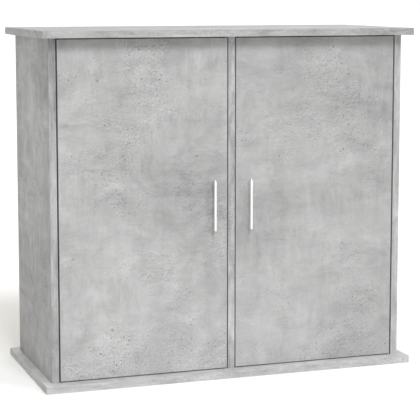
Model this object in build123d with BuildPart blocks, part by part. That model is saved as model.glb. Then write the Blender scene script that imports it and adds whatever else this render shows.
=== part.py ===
from build123d import *
import os

# Aquarium stand cabinet: a flat-pack carcass of laminated board with two inset doors.
# Millimetres, +Z up. The origin is the middle of the footprint on the floor; the doors face -Y.

os.makedirs("parts", exist_ok=True)

# ---- Driving dimensions ------------------------------------------------------------
width = 810.0  # top and base boards, X
depth = 360.0  # top and base boards, Y
height = 730.0
board = 15.0  # thickness of every laminated board
edge_round = 0.8
side_overhang = 17.5  # top and base boards past the side panels
front_overhang = 26.0
back_overhang = 24.0

door_side_gap = 3.0
door_divider_gap = 2.0
door_bottom_gap = 2.0
door_top_gap = 2.6

handle_x = 40.0  # from the middle of the cabinet
handle_z = 365.0
handle_length = 106.5
handle_width = 5.2
handle_thickness = 5.0
handle_reach = 15.0  # front of the bar from the door
handle_spacing = 96.0  # between the screws
handle_post_length = handle_length - handle_spacing  # along the bar, flush with its ends

shelf_z = 352.0  # underside of the shelves
shelf_end_gap = 1.0
shelf_setback = 30.0  # front edge behind the front of the carcass

back_thickness = 3.0
outlet_width = 150.0  # hose and cable outlet in each half of the back panel
outlet_height = 60.0
outlet_round = 12.0
outlet_z = 645.0

pivot_inset = 14.0  # hinge axis from the outer edge of the door
pivot_depth = 6.5  # hinge axis behind the front of the door
hinge_end_distance = 98.0  # hinge centre from the door's top or bottom edge
pin_radius = 1.25
running_gap = 0.05  # radial, pin to knuckle
fit_gap = 0.1  # radial, fittings in their holes

# ---- Worked-out places -------------------------------------------------------------
carcass_front = -depth / 2 + front_overhang
carcass_back = depth / 2 - back_overhang
carcass_depth = carcass_back - carcass_front
carcass_mid = (carcass_front + carcass_back) / 2
carcass_top = height - board
side_inner = width / 2 - side_overhang - board
side_x = side_inner + board / 2

door_outer = side_inner - door_side_gap
door_inner = board / 2 + door_divider_gap
door_x = (door_outer + door_inner) / 2
door_bottom = board + door_bottom_gap
door_top = carcass_top - door_top_gap
door_back = carcass_front + board
hinge_heights = {"lower": door_bottom + hinge_end_distance, "upper": door_top - hinge_end_distance}
pivot_x = door_outer - pivot_inset
pivot_y = carcass_front + pivot_depth

sides = {"left": -1, "right": 1}


def write(part, name):
    """Label a finished piece and write it to its own file."""
    part.label = name
    export_step(part, f"parts/{name}.step")


# ---- Joints of the carcass: cam fittings and dowels --------------------------------
cam_offset = 115.0  # from the middle of the carcass depth
dowel_offset = 75.0
cam_radius = 7.5
cam_depth = 12.5
cam_distance = 34.0  # cam centre from the end of the upright
bolt_thread_radius = 2.5
bolt_thread_length = 11.0
bolt_shank_radius = 3.5
dowel_radius = 4.0
dowel_in_board = 10.0
dowel_in_upright = 20.0
all_uprights = (-side_x, 0.0, side_x)


def joint_planes(offset, ends=(1, -1), uprights=all_uprights):
    """Planes on the ends of the uprights (1 top, -1 bottom), facing out into the top or base board."""
    return [
        Plane(origin=(x, carcass_mid + y, carcass_top if end > 0 else board), z_dir=(0, 0, end))
        for end in ends
        for x in uprights
        for y in (-offset, offset)
    ]


def cam_planes(x, facing):
    """Planes on the cam centres of the upright at x, in the board's face that looks along facing."""
    return [
        Plane(origin=(x + facing * board / 2, carcass_mid + y, z), x_dir=(0, 1, 0), z_dir=(facing, 0, 0))
        for z in (carcass_top - cam_distance, board + cam_distance)
        for y in (-cam_offset, cam_offset)
    ]


def make_deck(bottom, end):
    """The top or base board, with the holes for the bolts and dowels of the uprights."""
    with BuildPart() as deck:
        with BuildSketch(Plane.XY.offset(bottom)):
            Rectangle(width, depth)
        extrude(amount=board)
        fillet(deck.edges(), radius=edge_round)
        upwards = (Align.CENTER, Align.CENTER, Align.MIN)
        holes = (
            (cam_offset, bolt_thread_radius, bolt_thread_length),
            (dowel_offset, dowel_radius, dowel_in_board),
        )
        for offset, radius, length in holes:
            with Locations(*joint_planes(offset, ends=(end,))):
                Cylinder(radius + running_gap, length + 0.5, align=upwards, mode=Mode.SUBTRACT)
    return deck.part


write(make_deck(carcass_top, 1), "top_board")
write(make_deck(0, -1), "base_board")

# ---- Shelf pins --------------------------------------------------------------------
pin_setbacks = (52.0, carcass_depth - 37.0)  # from the front of the carcass
peg_radius = 2.5
peg_in_board = 7.2
peg_out = 8.0
collar_radius = 4.0
collar_thickness = 0.8
peg_z = shelf_z - peg_radius


def shelf_pin_planes(face_x, facing):
    """Planes on a board face, where its two shelf pins stand out along facing."""
    return [
        Plane(origin=(face_x, carcass_front + y, peg_z), z_dir=(facing, 0, 0)) for y in pin_setbacks
    ]


def make_upright(x, facing):
    """A side panel or the divider, with its cams in the face that looks along facing."""
    with BuildPart() as upright:
        with BuildSketch(Plane.XY.offset(board)):
            with Locations((x, carcass_mid)):
                Rectangle(board, carcass_depth)
        extrude(amount=carcass_top - board)
        fillet(upright.edges().filter_by(Axis.Z), radius=edge_round)
        with Locations(*joint_planes(dowel_offset, uprights=(x,))):
            Hole(dowel_radius + running_gap, depth=dowel_in_upright + 0.5)
        with Locations(*joint_planes(cam_offset, uprights=(x,))):
            Hole(bolt_shank_radius + fit_gap, depth=cam_distance)
        with Locations(*cam_planes(x, facing)):
            Hole(cam_radius + fit_gap, depth=cam_depth)
        pin_depth = board if x == 0 else peg_in_board + 0.5
        with Locations(*shelf_pin_planes(x + facing * board / 2, facing)):
            Hole(peg_radius + running_gap, depth=pin_depth)
    return upright.part


write(make_upright(-side_x, 1), "side_panel_left")
write(make_upright(side_x, -1), "side_panel_right")
write(make_upright(0.0, 1), "centre_divider")

# ---- Cam locks: a disc with a pocket for the bolt head and a cross slot to turn it ----
cam_thickness = cam_depth - 0.5
slot_width = 1.6
slot_depth = 2.0
with BuildPart() as cam_locks:
    for x, facing in ((-side_x, 1), (0.0, 1), (side_x, -1)):
        cam_faces = cam_planes(x, facing)
        with Locations(*cam_faces):
            Cylinder(cam_radius, cam_thickness, align=(Align.CENTER, Align.CENTER, Align.MAX))
            Box(cam_radius * 1.4, slot_width, slot_depth * 2, mode=Mode.SUBTRACT)
            Box(slot_width, cam_radius * 1.4, slot_depth * 2, mode=Mode.SUBTRACT)
    with Locations(*joint_planes(cam_offset)):
        Hole(bolt_shank_radius + fit_gap, depth=cam_distance)
write(cam_locks.part, "cam_locks")

# ---- Cam bolts: screwed into the top and base boards, held by their heads in the cams ----
bolt_neck_radius = 1.8
bolt_reach = 33.0  # end of the head from the joint
bolt_head_length = 2.0
bolt_neck_length = 7.0
bolt_bevel = 1.0
neck_end = bolt_head_length - bolt_reach
neck_start = neck_end + bolt_neck_length
with BuildPart() as cam_bolt:
    with BuildSketch(Plane.XZ):
        with BuildLine():
            Polyline(
                (0, bolt_thread_length),
                (bolt_thread_radius - bolt_bevel, bolt_thread_length),
                (bolt_thread_radius, bolt_thread_length - bolt_bevel),
                (bolt_thread_radius, 0),
                (bolt_shank_radius, 0),
                (bolt_shank_radius, neck_start + bolt_bevel),
                (bolt_neck_radius, neck_start),
                (bolt_neck_radius, neck_end + bolt_bevel),
                (bolt_shank_radius, neck_end),
                (bolt_shank_radius, bolt_bevel - bolt_reach),
                (bolt_neck_radius, -bolt_reach),
                (0, -bolt_reach),
                close=True,
            )
        make_face()
    revolve(axis=Axis.Z)

with BuildPart() as cam_bolts:
    with Locations(*joint_planes(cam_offset)):
        add(cam_bolt.part)
write(cam_bolts.part, "cam_bolts")

with BuildPart() as dowels:
    dowel_shift = (dowel_in_board - dowel_in_upright) / 2
    with Locations(*[plane.offset(dowel_shift) for plane in joint_planes(dowel_offset)]):
        Cylinder(dowel_radius, dowel_in_board + dowel_in_upright)
    chamfer(dowels.edges().filter_by(GeomType.CIRCLE), length=1.0)
write(dowels.part, "dowels")

with BuildPart() as shelf_pins:
    side_faces = shelf_pin_planes(-side_inner, 1) + shelf_pin_planes(side_inner, -1)
    divider_faces = shelf_pin_planes(-board / 2, -1) + shelf_pin_planes(board / 2, 1)
    with Locations(*side_faces, *divider_faces):
        Cylinder(peg_radius, peg_in_board, align=(Align.CENTER, Align.CENTER, Align.MAX))
        Cylinder(collar_radius, collar_thickness, align=(Align.CENTER, Align.CENTER, Align.MIN))
        Cylinder(peg_radius, peg_out, align=(Align.CENTER, Align.CENTER, Align.MIN))
write(shelf_pins.part, "shelf_pins")

# ---- Shelves -----------------------------------------------------------------------
bay_width = side_inner - board / 2
shelf_front = carcass_front + shelf_setback
shelf_back = carcass_back - 1.0


def make_shelf(side):
    """One loose shelf, lying on four pins."""
    with BuildPart() as shelf:
        with BuildSketch(Plane.XY.offset(shelf_z)):
            with Locations((side * (board / 2 + bay_width / 2), (shelf_front + shelf_back) / 2)):
                Rectangle(bay_width - 2 * shelf_end_gap, shelf_back - shelf_front)
        extrude(amount=board)
        fillet(shelf.edges().filter_by(Axis.X), radius=edge_round)
    return shelf.part


for side_name, side in sides.items():
    write(make_shelf(side), f"shelf_{side_name}")

# ---- Back panel: hardboard nailed to the rear edges of the uprights ------------------
back_margin = 1.0
with BuildPart() as back_panel:
    with BuildSketch(Plane.XZ.offset(-carcass_back)):
        with Locations((0, height / 2)):
            Rectangle(2 * (side_inner + board - back_margin), carcass_top - board - back_margin)
        with Locations((-bay_width / 2, outlet_z), (bay_width / 2, outlet_z)):
            RectangleRounded(outlet_width, outlet_height, outlet_round, mode=Mode.SUBTRACT)
    extrude(amount=-back_thickness)
write(back_panel.part, "back_panel")

nail_rows = 6
nail_spacing = 128.0
nail_radius = 0.7
nail_length = 18.0
nail_head_radius = 1.8
nail_head = 0.6
with BuildPart() as back_nails:
    nail_plane = Plane(
        origin=(0, carcass_back + back_thickness, height / 2), x_dir=(1, 0, 0), z_dir=(0, 1, 0)
    )
    with Locations(nail_plane):
        with GridLocations(side_x, nail_spacing, 3, nail_rows):
            Cylinder(nail_head_radius, nail_head, align=(Align.CENTER, Align.CENTER, Align.MIN))
            Cylinder(nail_radius, nail_length, align=(Align.CENTER, Align.CENTER, Align.MAX))
write(back_nails.part, "back_nails")


# ---- Screws ------------------------------------------------------------------------
def make_screw(head_radius, head_height, shank_radius, length, raised=False, pointed=True):
    """A cross-head screw along -Z from its seat at the origin, with a raised or a sunk head."""
    top = head_height if raised else 0
    head = [(head_radius, top), (head_radius, 0), (shank_radius, 0)]
    if not raised:
        head = [(head_radius, top), (shank_radius, -head_height)]
    tip_length = 2 * shank_radius if pointed else 0.4
    tip_radius = 0.3 if pointed else shank_radius - 0.4
    with BuildPart() as screw:
        with BuildSketch(Plane.XZ):
            with BuildLine():
                Polyline(
                    (0, top),
                    *head,
                    (shank_radius, tip_length - length),
                    (tip_radius, -length),
                    (0, -length),
                    close=True,
                )
            make_face()
        revolve(axis=Axis.Z)
        with Locations((0, 0, top)):
            for turn in (0, 90):
                Box(head_radius, 0.9, head_height * 1.2, rotation=(0, 0, turn), mode=Mode.SUBTRACT)
    return screw.part


def place_screws(screw, planes):
    """A group of identical screws, one on each plane."""
    with BuildPart() as screws:
        with Locations(*planes):
            add(screw)
    return screws.part


# ---- Doors, handles and handle screws ------------------------------------------------
cup_distance = 22.0  # cup centre from the outer edge of the door
cup_bore_radius = 17.5
cup_bore_depth = 12.0
cup_x = door_outer - cup_distance
handle_hole_radius = 2.25
handle_thread_radius = 2.0
handle_thread_depth = 8.0
handle_screw_length = board + 6.5


def door_back_planes(side, places):
    """Planes on the back face of a door, facing into the cabinet, at (x, z) places."""
    return [
        Plane(origin=(side * x, door_back, z), x_dir=(1, 0, 0), z_dir=(0, 1, 0)) for x, z in places
    ]


cup_places = [(cup_x, z) for z in hinge_heights.values()]
handle_places = [(handle_x, handle_z + sign * handle_spacing / 2) for sign in (-1, 1)]


def make_door(side):
    """One inset door, with the bores for its hinge cups and the holes for its handle."""
    with BuildPart() as door:
        with BuildSketch(Plane.XY.offset(door_bottom)):
            with Locations((side * door_x, carcass_front + board / 2)):
                Rectangle(door_outer - door_inner, board)
        extrude(amount=door_top - door_bottom)
        fillet(door.edges(), radius=edge_round)
        with Locations(*door_back_planes(side, cup_places)):
            Hole(cup_bore_radius, depth=cup_bore_depth)
        with Locations(*door_back_planes(side, handle_places)):
            Hole(handle_hole_radius, depth=board)
    return door.part


def make_handle(side):
    """A slim upright bar with a post at each end, threaded from behind."""
    bar_back = -carcass_front + handle_reach - handle_thickness
    with BuildPart() as handle:
        with BuildSketch(Plane.XZ.offset(bar_back)):
            with Locations((side * handle_x, handle_z)):
                SlotOverall(handle_length, handle_width, rotation=90)
        extrude(amount=handle_thickness)
        fillet(handle.edges().group_by(Axis.Y)[0], radius=handle_thickness * 0.35)
        fillet(handle.edges().group_by(Axis.Y)[-1], radius=handle_thickness * 0.2)
        with BuildSketch(Plane.XZ.offset(-carcass_front)):
            with Locations(*[(side * x, z) for x, z in handle_places]):
                SlotOverall(handle_post_length, handle_width, rotation=90)
        extrude(amount=handle_reach - handle_thickness / 2)
        with BuildSketch(Plane.XZ.offset(-carcass_front)):
            with Locations(*[(side * x, z) for x, z in handle_places]):
                Circle(handle_thread_radius)
        extrude(amount=handle_thread_depth, mode=Mode.SUBTRACT)
    return handle.part


handle_screw = make_screw(
    4.0, 2.4, handle_thread_radius - running_gap, handle_screw_length, raised=True, pointed=False
)
for side_name, side in sides.items():
    write(make_door(side), f"door_{side_name}")
    write(make_handle(side), f"handle_{side_name}")
    screws = place_screws(handle_screw, door_back_planes(side, handle_places))
    write(screws, f"handle_screws_{side_name}")

# ---- Concealed hinges: cup and pin on the door, swan-neck arm and plate on the side panel ----
flange_radius = 18.8
flange_thickness = 1.2
cup_screw_spacing = 48.0
cup_screw_shift = 6.0  # screws nearer the middle of the door than the cup's centre
cup_ear_radius = 5.5
cup_wall = 0.6
cup_pocket_radius = 15.5
cup_screw_hole_radius = 1.9
cup_screw_sink_radius = 3.4
hinge_pin_half = 14.7

knuckle_radius = 2.4
arm_half_width = 6.0
arm_thickness = 1.8
channel_half_width = 8.6
channel_wall = 1.2
channel_near = 4.5  # open edge of the channel from the side panel
channel_far = 12.2  # its web
channel_front = 38.0  # from the front of the carcass
channel_back = 82.0
arm_screw_setbacks = (46.0, 66.0)

plate_setback = 52.0
plate_length = 50.0
plate_width = 16.0
plate_thickness = 1.6
plate_screw_spacing = 32.0
block_front = 40.0
block_back = 74.0
block_half_width = 6.4
block_height = 10.3
arm_screw_radius = 2.0


def plan(side, inward, back):
    """A plan position: inward from the side panel's inner face, back from the carcass front."""
    return (side * (side_inner - inward), carcass_front + back)


def side_panel_planes(side, inward, places):
    """Planes parallel to a side panel, facing the middle of the cabinet, at (back, z) places."""
    return [
        Plane(
            origin=(side * (side_inner - inward), carcass_front + back, z),
            x_dir=(0, 1, 0),
            z_dir=(-side, 0, 0),
        )
        for back, z in places
    ]


def cup_screw_planes(side):
    """Seats of the four cup screws of one door, on the faces of the cup flanges."""
    places = [
        (cup_x - cup_screw_shift, z + sign * cup_screw_spacing / 2)
        for z in hinge_heights.values()
        for sign in (-1, 1)
    ]
    return [plane.offset(flange_thickness) for plane in door_back_planes(side, places)]


def make_hinge_cup(side, z):
    """A pressed cup with a screw flange; the pin crosses its pocket near the door's edge."""
    seat = door_back_planes(side, [(cup_x, z)])[0]
    shift = -side * cup_screw_shift
    with BuildPart() as cup:
        with BuildSketch(seat):
            Circle(flange_radius)
            with Locations((shift, 0)):
                SlotCenterToCenter(cup_screw_spacing, 2 * cup_ear_radius, rotation=90)
        extrude(amount=flange_thickness)
        with BuildSketch(seat):
            Circle(cup_bore_radius - fit_gap)
        extrude(amount=fit_gap - cup_bore_depth)
        with Locations(seat.offset(flange_thickness)):
            pocket_depth = flange_thickness + cup_bore_depth - fit_gap - cup_wall
            Hole(cup_pocket_radius, depth=pocket_depth)
            with Locations((shift, cup_screw_spacing / 2), (shift, -cup_screw_spacing / 2)):
                CounterSinkHole(cup_screw_hole_radius, cup_screw_sink_radius, counter_sink_angle=90)
        with Locations((side * pivot_x, pivot_y, z)):
            Cylinder(pin_radius + running_gap, 3 * cup_bore_radius, mode=Mode.SUBTRACT)
    return cup.part


def make_hinge_arm(side, z):
    """A knuckle round the pin, a swan neck out of the cup and a channel over the plate's block."""
    pivot = (door_side_gap + pivot_inset, pivot_depth)
    web = channel_far - arm_thickness / 2
    neck = [pivot, (31.5, 9.4), (36.6, 12.6), (37.4, 20.0), (32.0, 29.0), (web, 37.0), (web, 50.0)]
    with BuildPart() as arm:
        with BuildSketch(Plane.XY.offset(z)):
            with BuildLine():
                FilletPolyline(*[plan(side, *point) for point in neck], radius=3.0)
            trace(line_width=arm_thickness)
            with Locations(plan(side, *pivot)):
                Circle(knuckle_radius)
                Circle(pin_radius + running_gap, mode=Mode.SUBTRACT)
        extrude(amount=arm_half_width, both=True)
        channel_mid = (channel_front + channel_back) / 2
        with BuildSketch(Plane.XY.offset(z)):
            with Locations(plan(side, (channel_near + channel_far) / 2, channel_mid)):
                Rectangle(channel_far - channel_near, channel_back - channel_front)
        extrude(amount=channel_half_width, both=True)
        inside_far = channel_far - arm_thickness
        with BuildSketch(Plane.XY.offset(z)):
            with Locations(plan(side, (channel_near + inside_far) / 2, channel_mid)):
                Rectangle(inside_far - channel_near, channel_back - channel_front)
        extrude(amount=channel_half_width - channel_wall, both=True, mode=Mode.SUBTRACT)
        screw_places = [(back, z) for back in arm_screw_setbacks]
        with Locations(*side_panel_planes(side, channel_far, screw_places)):
            Hole(arm_screw_radius + 0.5, depth=2 * arm_thickness)
    return arm.part


def make_mounting_plate(side, z):
    """A two-winged plate screwed to the side panel, with the block that carries the arm."""
    seat = side_panel_planes(side, 0, [(plate_setback, z)])[0]
    block_shift = (block_front + block_back) / 2 - plate_setback
    with BuildPart() as plate:
        with BuildSketch(seat):
            RectangleRounded(plate_width, plate_length, 5.0)
        extrude(amount=plate_thickness)
        with BuildSketch(seat):
            with Locations((block_shift, 0)):
                Rectangle(block_back - block_front, 2 * block_half_width)
        extrude(amount=block_height)
        with Locations(seat.offset(plate_thickness)):
            with Locations((0, plate_screw_spacing / 2), (0, -plate_screw_spacing / 2)):
                CounterSinkHole(2.1, 3.7, counter_sink_angle=90)
        screw_places = [(back, z) for back in arm_screw_setbacks]
        with Locations(*side_panel_planes(side, block_height, screw_places)):
            Hole(arm_screw_radius + running_gap, depth=8.0)
    return plate.part


cup_screw = make_screw(3.3, 1.6, 1.7, 12.0)
for side_name, side in sides.items():
    for level, z in hinge_heights.items():
        write(make_hinge_cup(side, z), f"hinge_cup_{side_name}_{level}")
        write(make_hinge_arm(side, z), f"hinge_arm_{side_name}_{level}")
        write(make_mounting_plate(side, z), f"hinge_plate_{side_name}_{level}")
    with BuildPart() as hinge_pins:
        with Locations(*[(side * pivot_x, pivot_y, z) for z in hinge_heights.values()]):
            Cylinder(pin_radius, 2 * hinge_pin_half)
    write(hinge_pins.part, f"hinge_pins_{side_name}")
    write(place_screws(cup_screw, cup_screw_planes(side)), f"hinge_cup_screws_{side_name}")

plate_screw_places = [
    (plate_setback, z + sign * plate_screw_spacing / 2)
    for z in hinge_heights.values()
    for sign in (-1, 1)
]
arm_screw_places = [(back, z) for z in hinge_heights.values() for back in arm_screw_setbacks]
plate_screw_seats = []
arm_screw_seats = []
for side in sides.values():
    plate_screw_seats += side_panel_planes(side, plate_thickness, plate_screw_places)
    arm_screw_seats += side_panel_planes(side, channel_far, arm_screw_places)
write(place_screws(make_screw(3.6, 1.7, 1.9, 13.0), plate_screw_seats), "hinge_plate_screws")
arm_screw = make_screw(3.8, 1.6, arm_screw_radius, 8.0, raised=True, pointed=False)
write(place_screws(arm_screw, arm_screw_seats), "hinge_arm_screws")

# ---- Magnetic catches under the top board, strike plates on the doors -----------------
catch_x = 45.0
catch_width = 46.0
catch_body_width = 30.0
catch_depth = 14.0
catch_height = 12.5
catch_base = 2.5
catch_gap = 0.4  # magnet to strike plate with the door shut
magnet_width = 24.0
magnet_height = 5.0
magnet_depth = 11.0
magnet_drop = 8.5  # magnet centre below the top board
strike_width = 34.0
strike_height = 13.0
strike_thickness = 1.2
magnet_front = door_back + strike_thickness + catch_gap
catch_front = magnet_front + 0.5
catch_screw_spacing = 38.0
catch_screw_radius = 1.6


def catch_screw_planes(side):
    """Seats of the two screws of a catch, on the underside of its ears."""
    return [
        Plane(
            origin=(side * catch_x + dx, catch_front + catch_depth / 2, carcass_top - catch_base),
            z_dir=(0, 0, -1),
        )
        for dx in (-catch_screw_spacing / 2, catch_screw_spacing / 2)
    ]


def make_catch_housing(side):
    """A moulded housing with two screw ears and a pocket for the magnet."""
    with BuildPart() as housing:
        with BuildSketch(Plane.XY.offset(carcass_top)):
            with Locations((side * catch_x, catch_front + catch_depth / 2)):
                RectangleRounded(catch_width, catch_depth, 2.0)
        extrude(amount=-catch_base)
        with BuildSketch(Plane.XY.offset(carcass_top)):
            with Locations((side * catch_x, catch_front + catch_depth / 2)):
                Rectangle(catch_body_width, catch_depth)
        extrude(amount=-catch_height)
        fillet(housing.edges().group_by(Axis.Z)[0], radius=1.0)
        with BuildSketch(Plane.XZ.offset(-catch_front)):
            with Locations((side * catch_x, carcass_top - magnet_drop)):
                Rectangle(magnet_width + 2 * fit_gap, magnet_height + 2 * fit_gap)
        extrude(amount=-magnet_depth, mode=Mode.SUBTRACT)
        with Locations(*catch_screw_planes(side)):
            Hole(catch_screw_radius + 0.2, depth=catch_base)
    return housing.part


def make_strike_plate(side):
    """A steel plate on the back of the door, opposite the magnet."""
    strike_z = door_top - 0.5 - strike_height / 2
    seat = door_back_planes(side, [(catch_x, strike_z)])[0]
    with BuildPart() as strike:
        with BuildSketch(seat):
            RectangleRounded(strike_width, strike_height, 2.0)
        extrude(amount=strike_thickness)
        with Locations(seat.offset(strike_thickness)):
            CounterSinkHole(1.8, 3.1, counter_sink_angle=90)
    strike_screws = place_screws(make_screw(3.0, 1.5, 1.6, 10.0), [seat.offset(strike_thickness)])
    return strike.part, strike_screws


with BuildPart() as catch_magnets:
    with BuildSketch(Plane.XZ.offset(-magnet_front)):
        with Locations(*[(side * catch_x, carcass_top - magnet_drop) for side in sides.values()]):
            Rectangle(magnet_width, magnet_height)
    extrude(amount=-magnet_depth)
write(catch_magnets.part, "catch_magnets")

catch_screw = make_screw(3.0, 1.8, catch_screw_radius, 13.0, raised=True)
catch_screw_seats = [plane for side in sides.values() for plane in catch_screw_planes(side)]
write(place_screws(catch_screw, catch_screw_seats), "catch_screws")
for side_name, side in sides.items():
    write(make_catch_housing(side), f"catch_housing_{side_name}")
    strike_plate, strike_screws = make_strike_plate(side)
    write(strike_plate, f"strike_plate_{side_name}")
    write(strike_screws, f"strike_screw_{side_name}")
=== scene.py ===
import math

import bmesh
import bpy
from bpy.props import FloatProperty, FloatVectorProperty, PointerProperty
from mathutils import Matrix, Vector


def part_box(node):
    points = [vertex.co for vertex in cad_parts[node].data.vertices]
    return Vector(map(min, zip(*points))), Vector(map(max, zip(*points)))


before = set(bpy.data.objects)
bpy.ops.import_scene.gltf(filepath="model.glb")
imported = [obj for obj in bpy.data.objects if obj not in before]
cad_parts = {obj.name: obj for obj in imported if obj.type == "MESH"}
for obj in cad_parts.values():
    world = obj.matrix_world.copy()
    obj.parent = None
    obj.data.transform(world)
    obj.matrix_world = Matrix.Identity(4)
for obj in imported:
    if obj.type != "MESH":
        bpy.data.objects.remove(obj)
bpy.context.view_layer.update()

bl_info = {
    "name": "Aquarium Stand Cabinet",
    "version": (1, 0, 0),
    "blender": (4, 5, 0),
    "location": "3D View > Sidebar > Cabinet",
    "description": "Finishes for an aquarium stand cabinet, its fittings and a plain studio",
    "category": "Object",
}

# How a board lies: the axes along its length, across it and through its thickness.
LYING = ("X", "Y", "Z")
UPRIGHT = ("Z", "Y", "X")
FACING = ("X", "Z", "Y")

# Each board: how it lies, where its cut of the printed paper starts in metres, how much paler (+)
# or darker (-) the whole board is drawn, partly its own tone and partly painted light and shade for
# how brightly its faces are lit (the base board paler for its lit top, the left side panel darker
# for its shade), and how strongly its clouds stand out.
CARCASS_BOARDS = (
    ("top_board", LYING, (0.30, 0.10, 0.00), -0.04, 1.2),
    ("base_board", LYING, (2.10, 0.70, 0.00), 0.09, 1.35),
    ("side_panel_left", UPRIGHT, (0.40, 1.30, 0.90), -0.07, 1.4),
    ("side_panel_right", UPRIGHT, (1.70, 2.20, 0.30), 0.03, 1.25),
    ("centre_divider", UPRIGHT, (3.10, 0.20, 0.60), -0.01, 1.6),
    ("shelf_left", LYING, (4.10, 1.70, 0.10), 0.0, 1.2),
    ("shelf_right", LYING, (5.30, 0.50, 0.20), 0.0, 1.2),
)
DOOR_BOARDS = (
    ("door_left", FACING, (0.00, 0.00, 0.00), 0.0, 1.0),
    ("door_right", FACING, (0.90, 3.20, 0.00), -0.02, 0.9),
)
# Patches in a board's cut: centre from its lowest corner and reach, both along the board's own
# two ways in metres, how much paler or darker, and how much more pitted.
PATCHES = {
    "top_board": (
        ((0.40, 0.00), (0.60, 0.05), 0.0, 0.4),
    ),
    "base_board": (
        ((0.40, 0.00), (0.60, 0.05), 0.0, 0.45),
    ),
    "side_panel_left": (
        ((0.46, 0.17), (0.34, 0.13), 0.09, 0.0),
        ((0.66, 0.03), (0.16, 0.10), -0.12, 0.0),
        ((0.06, 0.26), (0.20, 0.16), -0.05, 0.0),
        ((0.20, 0.10), (0.10, 0.12), -0.06, 0.6),
    ),
    "door_left": (
        ((0.30, 0.40), (0.12, 0.16), -0.13, 0.0),
        ((0.13, 0.20), (0.09, 0.24), 0.08, 0.2),
        ((0.19, 0.60), (0.20, 0.12), 0.0, 1.0),
        ((0.32, 0.25), (0.12, 0.12), 0.03, 0.6),
        ((0.16, 0.02), (0.24, 0.10), 0.0, 1.1),
    ),
    "door_right": (
        ((0.32, 0.60), (0.14, 0.12), -0.10, 0.5),
        ((0.09, 0.47), (0.14, 0.10), 0.07, 0.0),
        ((0.03, 0.33), (0.10, 0.12), -0.10, 0.0),
        ((0.22, 0.55), (0.10, 0.20), 0.0, 1.0),
        ((0.11, 0.04), (0.18, 0.08), 0.12, 0.0),
        ((0.29, 0.07), (0.14, 0.12), -0.07, 1.1),
    ),
}
# Pits in the print: how their cells are squeezed, cells in a metre, radius as a share of a
# cell, and the share of cells without one.
PIT_SIZES = (
    ((1.0, 1.0, 1.0), 34.0, 0.085, 0.80),
    ((1.0, 1.0, 1.0), 82.0, 0.17, 0.80),
    ((1.0, 1.0, 1.0), 190.0, 0.30, 0.76),
    ((3.0, 0.8, 1.0), 40.0, 0.10, 0.90),
)
PIT_RAGGEDNESS = 0.008  # metres that a pit's edge wanders
# Layers of the print's tone, from broad to fine: squeeze along each axis, scale, detail,
# roughness, distortion, amount, and the strokes that it keeps to, if any.
TONE_LAYERS = {
    "broad": (None, 3.6, 2.0, 0.5, 0.5, 0.34, None),
    "middle": (None, 17.0, 5.0, 0.68, 0.7, 0.68, None),
    "wiped": ((14.0, 44.0, 20.0), 1.0, 4.0, 0.6, 0.7, 0.46, "crosswise"),
    "combed": ((48.0, 9.0, 20.0), 1.0, 4.0, 0.6, 0.7, 0.46, "lengthwise"),
    "scratched across": ((60.0, 260.0, 40.0), 1.0, 3.0, 0.65, 0.4, 0.42, "short crosswise"),
    "scratched upward": ((280.0, 42.0, 40.0), 1.0, 3.0, 0.65, 0.4, 0.44, "short lengthwise"),
    "grain": (None, 330.0, 2.0, 0.75, 0.0, 0.20, None),
}
STROKE_FLOOR = 0.25  # how strongly strokes still show where they are faintest
CRUMBS_PER_METRE = 210.0
RELIEF_STEP = (0.0005, -0.0016, 0.0)  # how far a crumb is shifted to find its lit side
RELIEF_IN_TONE = 0.55
RELIEF_IN_HEIGHT = 0.3
SPECKLE_SQUEEZE = (1.25, 0.85, 1.0)
SPECKLE_PER_METRE = 260.0
SPECKLE_IN_TONE = 0.95
SPECKLE_GATHERING = 1.5  # how closely the speckle keeps to the rough patches
PIT_DARKNESS = 0.85
EDGING_SQUEEZE = (0.6, 0.6, 3.5)  # the print's scale on the edging against its faces
EDGING_ROUGHER = 0.02
EDGING_STRONGER = 1.25  # the print's contrast on the edging against its faces
PITTED_ROUGHER = 0.17
PATCH_WANDER = 0.16  # metres that a patch's outline wanders
# Bump depths in metres; the finest serves the beech and the floor.
LAMINATE_DEPTH = 0.00006
METAL_DEPTH = 0.00002
PLASTIC_DEPTH = 0.00005
HARDBOARD_DEPTH = 0.0002
FINE_DEPTH = 0.0001
# Each metal: its bright colour, its stained colour, its roughness and the strength of its marks.
METALS = {
    "polished_bar": ((0.93, 0.93, 0.94), (0.84, 0.84, 0.85), 0.16, 0.5),
    "nickel_plate": ((0.70, 0.68, 0.65), (0.58, 0.57, 0.53), 0.24, 0.8),
    "pin_steel": ((0.56, 0.56, 0.57), (0.42, 0.41, 0.40), 0.28, 0.8),
    "strike_steel": ((0.62, 0.62, 0.63), (0.48, 0.47, 0.46), 0.32, 1.0),
    "zinc_plate": ((0.62, 0.63, 0.64), (0.47, 0.47, 0.46), 0.3, 1.0),
    "nail_steel": ((0.5, 0.5, 0.51), (0.33, 0.32, 0.31), 0.35, 1.2),
    "cast_zinc": ((0.44, 0.44, 0.44), (0.33, 0.33, 0.33), 0.46, 1.2),
    "bolt_steel": ((0.6, 0.6, 0.61), (0.45, 0.44, 0.43), 0.3, 1.0),
}
FLOOR_RADIUS = 60.0  # metres
FLOOR_COLORS = ((0.92, 0.92, 0.92, 1.0), (0.95, 0.95, 0.95, 1.0))
FLOOR_BOUNCE = (0.66, 0.66, 0.66, 1.0)
LAMP_COLOR = (0.965, 0.98, 1.0)
ROOM_WHITE = (1.0, 1.0, 1.0, 1.0)
ROOM_TINT = (1.0, 0.992, 0.945, 1.0)
ROOM_SIDES_IN_REFLECTIONS = 0.42
SENSOR_WIDTH = 36.0  # millimetres
VIEW_DISTANCE = 500.0  # metres
SIDES = ("left", "right")
LEVELS = ("lower", "upper")


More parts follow.
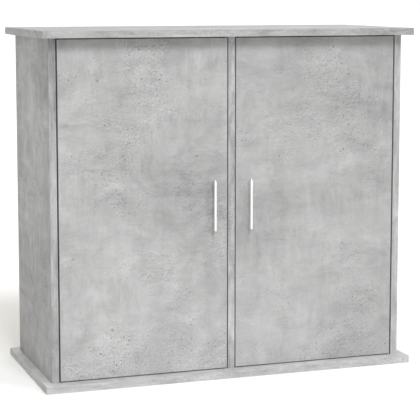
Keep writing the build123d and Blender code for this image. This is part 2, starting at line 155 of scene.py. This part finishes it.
# ---- Shader node helpers -------------------------------------------------------------
def feed(tree, node, inputs):
    """Give a node its inputs: numbers, colours, vectors or other nodes' outputs."""
    for key, value in inputs.items():
        if isinstance(value, bpy.types.NodeSocket):
            tree.links.new(value, node.inputs[key])
        else:
            node.inputs[key].default_value = value


def put(tree, kind, inputs=None, **settings):
    """Add a node with its settings and its inputs."""
    node = tree.nodes.new(kind)
    for name, value in settings.items():
        setattr(node, name, value)
    feed(tree, node, inputs or {})
    return node


def calc(tree, operation, *values, clamp=False):
    """A Math node on up to three values, as its output."""
    node = put(tree, "ShaderNodeMath", dict(enumerate(values)), operation=operation)
    node.use_clamp = clamp
    return node.outputs[0]


def noise(tree, place, scale, detail=3.0, roughness=0.5, distortion=0.0):
    """A Noise Texture's value at a place."""
    settings = {"Vector": place, "Scale": scale, "Detail": detail}
    settings.update({"Roughness": roughness, "Distortion": distortion})
    return put(tree, "ShaderNodeTexNoise", settings).outputs["Fac"]


def spread(tree, value, low, high, to_low=0.0, to_high=1.0, smooth=False):
    """Map a value's range onto another, clamped."""
    ranges = {"Value": value, "From Min": low, "From Max": high}
    ranges.update({"To Min": to_low, "To Max": to_high})
    kind = "SMOOTHSTEP" if smooth else "LINEAR"
    return put(tree, "ShaderNodeMapRange", ranges, interpolation_type=kind).outputs["Result"]


def stretch(tree, place, factors, shift=(0.0, 0.0, 0.0)):
    """A place scaled along each axis, then moved."""
    inputs = {0: place, 1: factors, 2: shift}
    return put(tree, "ShaderNodeVectorMath", inputs, operation="MULTIPLY_ADD").outputs[0]


def mix_colors(tree, share, first, second):
    """A colour between two others."""
    return put(tree, "ShaderNodeMix", {0: share, 6: first, 7: second}, data_type="RGBA").outputs[2]


def mix_values(tree, share, first, second):
    """A number between two others."""
    return put(tree, "ShaderNodeMix", {0: share, 2: first, 3: second}, data_type="FLOAT").outputs[0]


def separate(tree, vector):
    """A vector's three parts, by axis."""
    return put(tree, "ShaderNodeSeparateXYZ", {0: vector}).outputs


def nudge(tree, place, scale, detail, reach):
    """A place pushed about by a coloured noise, sideways and upward, by up to a reach in metres."""
    push = put(tree, "ShaderNodeTexNoise", {"Vector": place, "Scale": scale, "Detail": detail})
    inputs = {0: push.outputs["Color"], 1: (reach, reach, 0.0), 2: place}
    return put(tree, "ShaderNodeVectorMath", inputs, operation="MULTIPLY_ADD").outputs[0]


def new_group(name, inputs, outputs):
    """An empty shader node group: its tree, its input node's outputs and its output node."""
    tree = bpy.data.node_groups.new(name, "ShaderNodeTree")
    for socket_name, kind, default in inputs:
        socket = tree.interface.new_socket(socket_name, in_out="INPUT", socket_type=kind)
        if default is not None:
            socket.default_value = default
    for socket_name, kind in outputs:
        tree.interface.new_socket(socket_name, in_out="OUTPUT", socket_type=kind)
    return tree, tree.nodes.new("NodeGroupInput").outputs, tree.nodes.new("NodeGroupOutput")


def use_group(tree, name, inputs):
    """Place a node group in a material with its own values."""
    node = tree.nodes.new("ShaderNodeGroup")
    node.node_tree = bpy.data.node_groups[name]
    feed(tree, node, inputs)
    return node.outputs


def new_material(name, **shader_values):
    """A material with its Principled shader's constant sockets set."""
    material = bpy.data.materials.new(name)
    material.use_nodes = True
    tree = material.node_tree
    shader = tree.nodes["Principled BSDF"]
    for key, value in shader_values.items():
        shader.inputs[key.replace("_", " ")].default_value = value
    return material, tree, shader


def finish_shader(tree, shader, color, roughness, height, depth):
    """Wire colour, roughness and height into a shader; depth is the bump's, in metres."""
    tree.links.new(color, shader.inputs["Base Color"])
    tree.links.new(roughness, shader.inputs["Roughness"])
    bump = put(tree, "ShaderNodeBump", {"Height": height, "Strength": 1.0, "Distance": depth})
    tree.links.new(bump.outputs["Normal"], shader.inputs["Normal"])


def finish_from_group(tree, shader, surface, depth):
    """Wire a node group's colour, roughness and height into a shader."""
    finish_shader(tree, shader, surface["Color"], surface["Roughness"], surface["Height"], depth)


def dress(material, *names):
    """Give CAD nodes a material."""
    for name in names:
        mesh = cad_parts[name].data
        mesh.materials.clear()
        mesh.materials.append(material)


# ---- Shared surface effects ----------------------------------------------------------
def build_concrete_print():
    """The printed concrete look of the laminate: clouds, trowel strokes, grain and pits."""
    tree, given, result = new_group(
        "Concrete print",
        (
            ("Place", "NodeSocketVector", None),
            ("Rim", "NodeSocketFloat", 0.0),
            ("Dark", "NodeSocketColor", (0.2, 0.2, 0.2, 1.0)),
            ("Light", "NodeSocketColor", (0.8, 0.8, 0.8, 1.0)),
            ("Clouds", "NodeSocketFloat", 1.0),
            ("Shade", "NodeSocketFloat", 0.0),
            ("Pits", "NodeSocketFloat", 1.0),
            ("Pitted", "NodeSocketFloat", 0.0),
        ),
        (
            ("Color", "NodeSocketColor"),
            ("Roughness", "NodeSocketFloat"),
            ("Height", "NodeSocketFloat"),
        ),
    )
    # The edging is cut from the same paper, drawn out along the edge.
    drawn = stretch(tree, given["Place"], EDGING_SQUEEZE)
    edging_mix = {0: given["Rim"], 4: given["Place"], 5: drawn}
    place = put(tree, "ShaderNodeMix", edging_mix, data_type="VECTOR").outputs[1]

    tone, layers = lay_tones(tree, place, given["Shade"])
    rough_patch = find_rough_patches(tree, place, given["Rim"], given["Pitted"])
    relief = light_crumbs(tree, place, rough_patch)
    tone = calc(tree, "MULTIPLY_ADD", relief, RELIEF_IN_TONE, tone)
    speckle_place = stretch(tree, place, SPECKLE_SQUEEZE)
    speckle = noise(tree, speckle_place, SPECKLE_PER_METRE, 3.0, 0.65)
    gathered = calc(tree, "POWER", rough_patch, SPECKLE_GATHERING)
    tone = add_tone(tree, tone, speckle, SPECKLE_IN_TONE, gathered)
    pits = scatter_pits(tree, place, rough_patch, given["Pits"])

    stronger = spread(tree, given["Rim"], 0.0, 1.0, 1.0, EDGING_STRONGER)
    contrast = calc(tree, "MULTIPLY", given["Clouds"], stronger)
    tone = calc(tree, "MULTIPLY_ADD", tone, contrast, 0.5)
    tone = calc(tree, "MULTIPLY_ADD", pits, -PIT_DARKNESS, tone, clamp=True)
    color = mix_colors(tree, tone, given["Dark"], given["Light"])
    roughness = calc(tree, "MULTIPLY_ADD", layers["middle"], 0.16, 0.44)
    roughness = calc(tree, "MULTIPLY_ADD", layers["grain"], 0.06, roughness)
    height = calc(tree, "MULTIPLY", layers["middle"], 0.3)
    height = calc(tree, "MULTIPLY_ADD", layers["grain"], 0.35, height)
    height = calc(tree, "MULTIPLY_ADD", relief, RELIEF_IN_HEIGHT, height)
    height = calc(tree, "SUBTRACT", height, pits)
    feed(tree, result, {"Color": color, "Roughness": roughness, "Height": height})


def add_tone(tree, total, pattern, amount, where=None):
    """A tone with a pattern added round its middle value, all over or only where it lies."""
    pattern = calc(tree, "SUBTRACT", pattern, 0.5)
    if where is not None:
        pattern = calc(tree, "MULTIPLY", pattern, where)
    return calc(tree, "MULTIPLY_ADD", pattern, amount, total)


def lay_tones(tree, place, shade):
    """The print's tone before its rough patches, and each layer's own pattern."""
    turn = noise(tree, place, 8.0, 2.0, 0.5, 0.5)
    stroked = spread(tree, noise(tree, place, 13.0, 2.0, 0.6), 0.42, 0.62, STROKE_FLOOR, 1.0)
    strokes = {
        "crosswise": spread(tree, turn, 0.38, 0.62, STROKE_FLOOR, 1.0),
        "lengthwise": spread(tree, turn, 0.38, 0.62, 1.0, STROKE_FLOOR),
    }
    for way in ("crosswise", "lengthwise"):
        strokes[f"short {way}"] = calc(tree, "MULTIPLY", strokes[way], stroked)
    tone, layers = shade, {}
    for name, (squeeze, scale, detail, roughness, distortion, amount, way) in TONE_LAYERS.items():
        spot = place if squeeze is None else stretch(tree, place, squeeze)
        layers[name] = noise(tree, spot, scale, detail, roughness, distortion)
        tone = add_tone(tree, tone, layers[name], amount, strokes.get(way))
    return tone, layers


def find_rough_patches(tree, place, rim, pitted):
    """Where the print is rough: by chance, where a board is pitted, a little on its edging."""
    chance = noise(tree, place, 9.0, 3.0, 0.6, 0.3)
    rough = calc(tree, "MULTIPLY_ADD", pitted, PITTED_ROUGHER, chance)
    rough = calc(tree, "MULTIPLY_ADD", rim, EDGING_ROUGHER, rough)
    return spread(tree, rough, 0.52, 0.70, 0.10, 1.0)


def light_crumbs(tree, place, rough_patch):
    """Printed crumbs with a lit and a shaded side, strongest in the rough patches."""
    crumbs = noise(tree, place, CRUMBS_PER_METRE, 2.0, 0.6)
    shifted = stretch(tree, place, (1.0, 1.0, 1.0), RELIEF_STEP)
    relief = calc(tree, "SUBTRACT", crumbs, noise(tree, shifted, CRUMBS_PER_METRE, 2.0, 0.6))
    return calc(tree, "MULTIPLY", relief, rough_patch)


def scatter_pits(tree, place, rough_patch, strength):
    """Small dark pits of several sizes, darkest in the rough patches."""
    ragged = nudge(tree, place, 150.0, 1.0, PIT_RAGGEDNESS)
    pits = None
    for shape, scale, radius, bare_share in PIT_SIZES:
        cell_inputs = {"Vector": stretch(tree, ragged, shape), "Scale": scale}
        cells = put(tree, "ShaderNodeTexVoronoi", cell_inputs).outputs
        hole = spread(tree, cells["Distance"], radius * 0.5, radius, 1.0, 0.0, smooth=True)
        chance = put(tree, "ShaderNodeSeparateColor", {"Color": cells["Color"]}).outputs
        mask = calc(tree, "MULTIPLY", hole, calc(tree, "GREATER_THAN", chance["Red"], bare_share))
        depth = spread(tree, chance["Green"], 0.0, 1.0, 0.35, 1.0)
        mask = calc(tree, "MULTIPLY", mask, depth)
        pits = mask if pits is None else calc(tree, "MAXIMUM", pits, mask)
    pits = calc(tree, "MULTIPLY", pits, rough_patch)
    return calc(tree, "MULTIPLY", pits, strength, clamp=True)


def build_handled_metal():
    """Faint rubbing marks, stains and a rolled grain on metal."""
    tree, given, result = new_group(
        "Handled metal",
        (
            ("Place", "NodeSocketVector", None),
            ("Bright", "NodeSocketColor", (0.8, 0.8, 0.8, 1.0)),
            ("Stained", "NodeSocketColor", (0.6, 0.6, 0.6, 1.0)),
            ("Polish", "NodeSocketFloat", 0.3),
            ("Marks", "NodeSocketFloat", 1.0),
        ),
        (
            ("Color", "NodeSocketColor"),
            ("Roughness", "NodeSocketFloat"),
            ("Height", "NodeSocketFloat"),
        ),
    )
    place = given["Place"]
    stains = spread(tree, noise(tree, place, 90.0, 5.0, 0.65, 0.4), 0.42, 0.72)
    rolled = noise(tree, stretch(tree, place, (1500.0, 1500.0, 60.0)), 1.0, 2.0)
    rubbed = noise(tree, stretch(tree, place, (500.0, 60.0, 900.0)), 1.0, 4.0, 0.7)
    rubbed = spread(tree, rubbed, 0.56, 0.66)
    share = calc(tree, "MULTIPLY", stains, given["Marks"], clamp=True)
    color = mix_colors(tree, share, given["Bright"], given["Stained"])
    marks = calc(tree, "MULTIPLY_ADD", rubbed, 0.35, calc(tree, "MULTIPLY", stains, 0.4))
    marks = calc(tree, "MULTIPLY", marks, given["Marks"])
    roughness = calc(tree, "MULTIPLY_ADD", marks, 0.35, given["Polish"])
    height = calc(tree, "MULTIPLY_ADD", rolled, 0.15, calc(tree, "MULTIPLY", rubbed, -0.3))
    feed(tree, result, {"Color": color, "Roughness": roughness, "Height": height})


def build_fibres():
    """Short pressed fibres and darker flecks, as in hardboard and cut wood."""
    tree, given, result = new_group(
        "Pressed fibres",
        (
            ("Place", "NodeSocketVector", None),
            ("Pale", "NodeSocketColor", (0.5, 0.4, 0.3, 1.0)),
            ("Brown", "NodeSocketColor", (0.3, 0.2, 0.1, 1.0)),
            ("Flecks", "NodeSocketFloat", 1.0),
        ),
        (
            ("Color", "NodeSocketColor"),
            ("Roughness", "NodeSocketFloat"),
            ("Height", "NodeSocketFloat"),
        ),
    )
    place = given["Place"]
    cloud = noise(tree, place, 7.0, 4.0, 0.6, 0.4)
    fibre_x = noise(tree, stretch(tree, place, (90.0, 400.0, 700.0)), 1.0, 4.0, 0.7, 0.6)
    fibre_z = noise(tree, stretch(tree, place, (700.0, 400.0, 110.0)), 1.0, 4.0, 0.7, 0.6)
    fibres = calc(tree, "MULTIPLY", calc(tree, "ADD", fibre_x, fibre_z), 0.5)
    fleck_noise = noise(tree, stretch(tree, place, (220.0, 220.0, 420.0)), 1.0, 2.0, 0.6)
    flecks = calc(tree, "MULTIPLY", spread(tree, fleck_noise, 0.62, 0.7), given["Flecks"])
    share = calc(tree, "MULTIPLY_ADD", calc(tree, "SUBTRACT", fibres, 0.5), 1.5, cloud)
    share = calc(tree, "MULTIPLY_ADD", flecks, 0.4, share, clamp=True)
    color = mix_colors(tree, share, given["Pale"], given["Brown"])
    roughness = calc(tree, "MULTIPLY_ADD", fibres, 0.25, 0.55)
    feed(tree, result, {"Color": color, "Roughness": roughness, "Height": fibres})


def object_place(tree):
    """Object coordinates, in metres from the cabinet's own origin."""
    return put(tree, "ShaderNodeTexCoord").outputs["Object"]


# ---- Materials -----------------------------------------------------------------------
def add_patches(tree, place, corner, patches):
    """The paler, darker and pitted patches of one board, as a shade and a pitting."""
    place = nudge(tree, place, 9.0, 3.0, PATCH_WANDER)
    drift = PATCH_WANDER / 2  # the noise pushes this far on average
    shade = pitted = 0.0
    for (across, up), reach, paler, rougher in patches:
        centre = (corner[0] + across + drift, corner[1] + up + drift)
        size = (1.0 / reach[0], 1.0 / reach[1], 0.0)
        back = (-centre[0] * size[0], -centre[1] * size[1], 0.0)
        offset = stretch(tree, place, size, back)
        away = put(tree, "ShaderNodeVectorMath", {0: offset}, operation="LENGTH")
        share = spread(tree, away.outputs["Value"], 0.15, 1.3, 1.0, 0.0, smooth=True)
        shade = calc(tree, "MULTIPLY_ADD", share, paler, shade)
        pitted = calc(tree, "MULTIPLY_ADD", share, rougher, pitted)
    return shade, pitted


def make_board_material(name, lay, start, paler, contrast, finish):
    """The laminate of one board: its own cut of the print, with drawn-out print on the edging."""
    material, tree, shader = new_material(f"laminate_{name}", IOR=1.46, Specular_IOR_Level=0.42)
    coordinates = put(tree, "ShaderNodeTexCoord")
    position = separate(tree, coordinates.outputs["Object"])
    normal = separate(tree, coordinates.outputs["Normal"])
    axes = {i: position[axis] for i, axis in enumerate(lay)}
    laid = put(tree, "ShaderNodeCombineXYZ", axes).outputs[0]
    place = stretch(tree, laid, (1.0, 1.0, 1.0), start)
    # The board's paler or darker offset is partly its own tone and partly painted light and shade
    # for how brightly its faces are lit.
    shade, pitted = paler, 0.0
    if name in PATCHES:
        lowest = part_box(name)[0]
        corner = [lowest["XYZ".index(axis)] for axis in lay[:2]]
        shade, pitted = add_patches(tree, laid, corner, PATCHES[name])
        shade = calc(tree, "ADD", shade, paler)
    flatness = calc(tree, "ABSOLUTE", normal[lay[2]])
    surface = use_group(tree, "Concrete print", {
        "Place": place,
        "Rim": spread(tree, flatness, 0.5, 0.8, 1.0, 0.0),
        "Dark": (*finish.dark, 1.0),
        "Light": (*finish.light, 1.0),
        "Clouds": finish.clouds * contrast,
        "Shade": shade,
        "Pits": finish.pits,
        "Pitted": pitted,
    })
    finish_from_group(tree, shader, surface, LAMINATE_DEPTH)
    return material


def laminate(boards, finish):
    """Give each board its own cut of the print."""
    for name, lay, start, paler, contrast in boards:
        dress(make_board_material(name, lay, start, paler, contrast, finish), name)


def make_metal(name):
    """A bare or plated metal."""
    bright, stained, polish, marks = METALS[name]
    material, tree, shader = new_material(name, Metallic=1.0)
    surface = use_group(tree, "Handled metal", {
        "Place": object_place(tree),
        "Bright": (*bright, 1.0),
        "Stained": (*stained, 1.0),
        "Polish": polish,
        "Marks": marks,
    })
    finish_from_group(tree, shader, surface, METAL_DEPTH)
    return material


def make_hardboard():
    """Thin hardboard: raw and brown behind, lacquered grey inside."""
    material, tree, shader = new_material("hardboard", Specular_IOR_Level=0.35)
    coordinates = put(tree, "ShaderNodeTexCoord")
    normal = separate(tree, coordinates.outputs["Normal"])["Y"]
    inside = spread(tree, normal, -0.8, -0.5, 1.0, 0.0)
    raw = use_group(tree, "Pressed fibres", {
        "Place": coordinates.outputs["Object"],
        "Pale": (0.33, 0.23, 0.15, 1.0),
        "Brown": (0.17, 0.105, 0.062, 1.0),
        "Flecks": 1.0,
    })
    grain = noise(tree, coordinates.outputs["Object"], 500.0, 3.0, 0.6)
    cloud = noise(tree, coordinates.outputs["Object"], 5.0, 3.0, 0.5)
    lacquer = mix_colors(
        tree,
        calc(tree, "MULTIPLY_ADD", grain, 0.35, calc(tree, "MULTIPLY", cloud, 0.6)),
        (0.40, 0.40, 0.40, 1.0),
        (0.52, 0.52, 0.515, 1.0),
    )
    color = mix_colors(tree, inside, raw["Color"], lacquer)
    height = calc(tree, "MULTIPLY", raw["Height"], spread(tree, inside, 0.0, 1.0, 1.0, 0.25))
    roughness = calc(tree, "MULTIPLY_ADD", inside, -0.18, raw["Roughness"])
    finish_shader(tree, shader, color, roughness, height, HARDBOARD_DEPTH)
    return material


def make_beech():
    """Raw beech, with its grain along Z."""
    material, tree, shader = new_material("beech", Specular_IOR_Level=0.3)
    surface = use_group(tree, "Pressed fibres", {
        "Place": stretch(tree, object_place(tree), (1.0, 1.0, 0.25)),
        "Pale": (0.62, 0.43, 0.27, 1.0),
        "Brown": (0.40, 0.25, 0.14, 1.0),
        "Flecks": 0.7,
    })
    finish_from_group(tree, shader, surface, FINE_DEPTH)
    return material


def make_moulded_plastic():
    """White moulded plastic with a fine spark-eroded grain."""
    material, tree, shader = new_material("moulded_plastic", IOR=1.5, Specular_IOR_Level=0.45)
    place = object_place(tree)
    grain = noise(tree, place, 1800.0, 2.0)
    cloud = noise(tree, place, 60.0, 3.0, 0.6)
    color = mix_colors(tree, cloud, (0.74, 0.74, 0.72, 1.0), (0.84, 0.84, 0.82, 1.0))
    roughness = calc(tree, "MULTIPLY_ADD", cloud, 0.15, 0.38)
    finish_shader(tree, shader, color, roughness, grain, PLASTIC_DEPTH)
    return material


def make_ferrite():
    """Sintered black ferrite between its pole plates."""
    material, tree, shader = new_material("ferrite", Specular_IOR_Level=0.5)
    place = object_place(tree)
    speckle = noise(tree, place, 900.0, 4.0, 0.7)
    cloud = noise(tree, place, 120.0, 2.0)
    color = mix_colors(tree, speckle, (0.03, 0.03, 0.033, 1.0), (0.11, 0.11, 0.115, 1.0))
    roughness = calc(tree, "MULTIPLY_ADD", cloud, 0.3, 0.4)
    finish_shader(tree, shader, color, roughness, speckle, PLASTIC_DEPTH)
    return material


# ---- Settings a user would change ----------------------------------------------------
class LaminateFinish(bpy.types.PropertyGroup):
    """The concrete-look print on every board."""

    dark: FloatVectorProperty(
        name="Dark", description="Colour of the darkest cement", subtype="COLOR",
        default=(0.20, 0.199, 0.20), min=0.0, max=1.0,
    )
    light: FloatVectorProperty(
        name="Light", description="Colour of the palest cement", subtype="COLOR",
        default=(0.66, 0.656, 0.661), min=0.0, max=1.0,
    )
    clouds: FloatProperty(
        name="Clouds", description="Contrast of the cloudy patches", default=1.0, min=0.0, max=3.0,
    )
    pits: FloatProperty(
        name="Pits", description="Strength of the small dark pits", default=1.0, min=0.0, max=2.0,
    )


class StudioSetup(bpy.types.PropertyGroup):
    """Light and camera."""

    key_strength: FloatProperty(
        name="Key", description="Strength of the key light", default=1.55, min=0.0,
    )
    key_turn: FloatProperty(
        name="Key turn", description="Key light's turn from straight in front, towards +X",
        subtype="ANGLE", default=math.radians(4.0),
    )
    key_height: FloatProperty(
        name="Key height", description="Key light's height above the horizon",
        subtype="ANGLE", default=math.radians(45.0),
    )
    key_size: FloatProperty(
        name="Key size", description="Angle that the key light fills; larger is softer",
        subtype="ANGLE", default=math.radians(20.0),
    )
    fill_strength: FloatProperty(
        name="Fill", description="Strength of the second light, on the right",
        default=0.55, min=0.0,
    )
    fill_turn: FloatProperty(
        name="Fill turn", description="Second light's turn from straight in front, towards +X",
        subtype="ANGLE", default=math.radians(45.0),
    )
    fill_height: FloatProperty(
        name="Fill height", description="Second light's height above the horizon",
        subtype="ANGLE", default=math.radians(28.0),
    )
    fill_size: FloatProperty(
        name="Fill size", description="Angle that the second light fills",
        subtype="ANGLE", default=math.radians(24.0),
    )
    sky_low: FloatProperty(
        name="Sky at horizon", description="Brightness of the room at the horizon",
        default=0.2, min=0.0,
    )
    sky_high: FloatProperty(
        name="Sky overhead", description="Brightness of the room overhead", default=1.18, min=0.0,
    )
    camera_place: FloatVectorProperty(
        name="Camera", description="Where the camera stands", subtype="TRANSLATION", unit="LENGTH",
        default=(-1.060, -3.048, 0.803),
    )
    camera_turn: FloatProperty(
        name="Camera turn", description="Turn from looking straight at the front, towards +X",
        subtype="ANGLE", default=math.radians(19.28),
    )
    camera_tilt: FloatProperty(
        name="Camera tilt", description="How far the camera looks down",
        subtype="ANGLE", default=math.radians(6.85),
    )
    camera_lens: FloatProperty(
        name="Lens", description="Focal length on a 36 mm sensor", unit="CAMERA",
        default=127.6, min=1.0,
    )
    camera_shift: FloatProperty(
        name="Shift", description="Upright lens shift, as a part of the frame", default=-0.09,
    )


# ---- Operators -----------------------------------------------------------------------
class CABINET_OT_surface_effects(bpy.types.Operator):
    """Build the node groups that the finishes share"""

    bl_idname = "cabinet.surface_effects"
    bl_label = "Surface effects"

    def execute(self, context):
        build_concrete_print()
        build_handled_metal()
        build_fibres()
        return {"FINISHED"}


class CABINET_OT_carcass(bpy.types.Operator):
    """Laminate the top, base, side panels, divider and shelves"""

    bl_idname = "cabinet.carcass"
    bl_label = "Carcass boards"

    def execute(self, context):
        laminate(CARCASS_BOARDS, context.scene.cabinet_laminate)
        return {"FINISHED"}


class CABINET_OT_doors(bpy.types.Operator):
    """Laminate the two doors"""

    bl_idname = "cabinet.doors"
    bl_label = "Doors"

    def execute(self, context):
        laminate(DOOR_BOARDS, context.scene.cabinet_laminate)
        return {"FINISHED"}


class CABINET_OT_back_panel(bpy.types.Operator):
    """Finish the hardboard back"""

    bl_idname = "cabinet.back_panel"
    bl_label = "Back panel"

    def execute(self, context):
        dress(make_hardboard(), "back_panel")
        return {"FINISHED"}


class CABINET_OT_handles(bpy.types.Operator):
    """Polish the two bar handles"""

    bl_idname = "cabinet.handles"
    bl_label = "Handles"

    def execute(self, context):
        dress(make_metal("polished_bar"), *[f"handle_{side}" for side in SIDES])
        return {"FINISHED"}


class CABINET_OT_hinges(bpy.types.Operator):
    """Plate the concealed hinges"""

    bl_idname = "cabinet.hinges"
    bl_label = "Hinges"

    def execute(self, context):
        parts = [f"hinge_{kind}_{side}" for kind in ("cup", "arm", "plate") for side in SIDES]
        plated = [f"{part}_{level}" for part in parts for level in LEVELS]
        dress(make_metal("nickel_plate"), *plated)
        dress(make_metal("pin_steel"), *[f"hinge_pins_{side}" for side in SIDES])
        return {"FINISHED"}


class CABINET_OT_catches(bpy.types.Operator):
    """Finish the magnetic catches and their strike plates"""

    bl_idname = "cabinet.catches"
    bl_label = "Catches"

    def execute(self, context):
        dress(make_moulded_plastic(), *[f"catch_housing_{side}" for side in SIDES])
        dress(make_ferrite(), "catch_magnets")
        dress(make_metal("strike_steel"), *[f"strike_plate_{side}" for side in SIDES])
        return {"FINISHED"}


class CABINET_OT_fasteners(bpy.types.Operator):
    """Finish the screws, nails, cams, dowels and shelf pins"""

    bl_idname = "cabinet.fasteners"
    bl_label = "Fasteners"

    def execute(self, context):
        kinds = ("handle_screws", "hinge_cup_screws", "strike_screw")
        screws = [f"{kind}_{side}" for kind in kinds for side in SIDES]
        screws += ["hinge_plate_screws", "hinge_arm_screws", "catch_screws"]
        dress(make_metal("zinc_plate"), "shelf_pins", *screws)
        dress(make_metal("nail_steel"), "back_nails")
        dress(make_metal("cast_zinc"), "cam_locks")
        dress(make_metal("bolt_steel"), "cam_bolts")
        dress(make_beech(), "dowels")
        return {"FINISHED"}


class CABINET_OT_stage(bpy.types.Operator):
    """Lay the floor and set the lights and the camera"""

    bl_idname = "cabinet.stage"
    bl_label = "Studio"

    def execute(self, context):
        studio = context.scene.cabinet_studio
        self.lay_floor()
        self.light_room(context.scene, studio)
        for lamp_name in ("key", "fill"):
            wanted = [f"{lamp_name}_{what}" for what in ("strength", "turn", "height", "size")]
            settings = [getattr(studio, name) for name in wanted]
            lamp = self.hang_light(context.scene, f"{lamp_name}_light", *settings)
            # The fill is a broad glow, so nothing mirrors it.
            lamp.visible_glossy = lamp_name == "key"
        self.set_camera(context.scene, studio)
        return {"FINISHED"}

    def lay_floor(self):
        """A wide pale floor, just under the base board."""
        shape = bmesh.new()
        bmesh.ops.create_circle(shape, cap_ends=True, segments=96, radius=FLOOR_RADIUS)
        mesh = bpy.data.meshes.new("floor")
        shape.to_mesh(mesh)
        shape.free()
        floor = bpy.data.objects.new("floor", mesh)
        bpy.context.scene.collection.objects.link(floor)
        material, tree, shader = new_material("pale_floor", Specular_IOR_Level=0.1)
        place = object_place(tree)
        cloud = noise(tree, place, 1.5, 3.0)
        color = mix_colors(tree, cloud, *FLOOR_COLORS)
        # It throws less light back up at the cabinet than it shows.
        bounce = put(tree, "ShaderNodeLightPath").outputs["Is Diffuse Ray"]
        color = mix_colors(tree, bounce, color, FLOOR_BOUNCE)
        roughness = calc(tree, "MULTIPLY_ADD", cloud, 0.1, 0.8)
        finish_shader(tree, shader, color, roughness, noise(tree, place, 300.0), FINE_DEPTH)
        mesh.materials.append(material)

    def light_room(self, scene, studio):
        """A room brighter overhead, seen as plain white, with dimmer sides in reflections."""
        world = bpy.data.worlds.new("studio_room")
        scene.world = world
        world.use_nodes = True
        tree = world.node_tree
        background = tree.nodes["Background"]
        direction = separate(tree, put(tree, "ShaderNodeTexCoord").outputs["Generated"])
        level = spread(tree, direction["Z"], 0.0, 1.0, studio.sky_low, studio.sky_high)
        sideways = calc(tree, "ABSOLUTE", direction["X"])
        mirrored = spread(tree, sideways, 0.5, 0.8, 1.0, ROOM_SIDES_IN_REFLECTIONS, smooth=True)
        rays = put(tree, "ShaderNodeLightPath").outputs
        diffuse = rays["Is Diffuse Ray"]
        seen = mix_values(tree, rays["Is Glossy Ray"], 1.0, mirrored)
        strength = mix_values(tree, diffuse, seen, level)
        tint = mix_colors(tree, diffuse, ROOM_WHITE, ROOM_TINT)
        feed(tree, background, {"Color": tint, "Strength": strength})

    def hang_light(self, scene, name, strength, turn, height, size):
        """A large far light, turned from straight in front and raised above the horizon."""
        light = bpy.data.lights.new(name, "SUN")
        light.energy = strength
        light.angle = size
        light.color = LAMP_COLOR
        lamp = bpy.data.objects.new(name, light)
        scene.collection.objects.link(lamp)
        level = math.cos(height)
        towards = Vector((math.sin(turn) * level, -math.cos(turn) * level, math.sin(height)))
        lamp.rotation_euler = towards.to_track_quat("Z", "Y").to_euler()
        return lamp

    def set_camera(self, scene, studio):
        """A long lens a little to the left and above."""
        lens = bpy.data.cameras.new("camera")
        lens.sensor_width = SENSOR_WIDTH
        lens.lens = studio.camera_lens
        lens.shift_y = studio.camera_shift
        lens.clip_end = VIEW_DISTANCE
        camera = bpy.data.objects.new("camera", lens)
        scene.collection.objects.link(camera)
        camera.location = studio.camera_place
        camera.rotation_euler = (math.pi / 2 - studio.camera_tilt, 0.0, -studio.camera_turn)
        scene.camera = camera
        scene.view_settings.view_transform = "Standard"


class CABINET_PT_panel(bpy.types.Panel):
    """The cabinet's steps and settings in the 3D view's sidebar"""

    bl_idname = "CABINET_PT_panel"
    bl_label = "Aquarium cabinet"
    bl_space_type = "VIEW_3D"
    bl_region_type = "UI"
    bl_category = "Cabinet"

    def draw(self, context):
        layout = self.layout
        for group in (context.scene.cabinet_laminate, context.scene.cabinet_studio):
            box = layout.box()
            for name in group.__annotations__:
                box.prop(group, name)
        for operator in OPERATORS:
            layout.operator(operator.bl_idname)


OPERATORS = (
    CABINET_OT_surface_effects,
    CABINET_OT_carcass,
    CABINET_OT_doors,
    CABINET_OT_back_panel,
    CABINET_OT_handles,
    CABINET_OT_hinges,
    CABINET_OT_catches,
    CABINET_OT_fasteners,
    CABINET_OT_stage,
)
CLASSES = (LaminateFinish, StudioSetup, *OPERATORS, CABINET_PT_panel)


def register():
    """Register the classes and attach the settings to the scene."""
    for cls in CLASSES:
        bpy.utils.register_class(cls)
    bpy.types.Scene.cabinet_laminate = PointerProperty(type=LaminateFinish)
    bpy.types.Scene.cabinet_studio = PointerProperty(type=StudioSetup)


def unregister():
    """Take the settings and the classes away again."""
    del bpy.types.Scene.cabinet_studio
    del bpy.types.Scene.cabinet_laminate
    for cls in reversed(CLASSES):
        bpy.utils.unregister_class(cls)


def run(operator):
    """Call one operator by its name and stop if it can't finish."""
    group, name = operator.bl_idname.split(".")
    if getattr(getattr(bpy.ops, group), name)() != {"FINISHED"}:
        raise RuntimeError(f"{operator.bl_idname} didn't finish")


def main():
    """Register the add-on and build everything in order."""
    register()
    for operator in OPERATORS:
        run(operator)


if __name__ == "__main__":
    main()
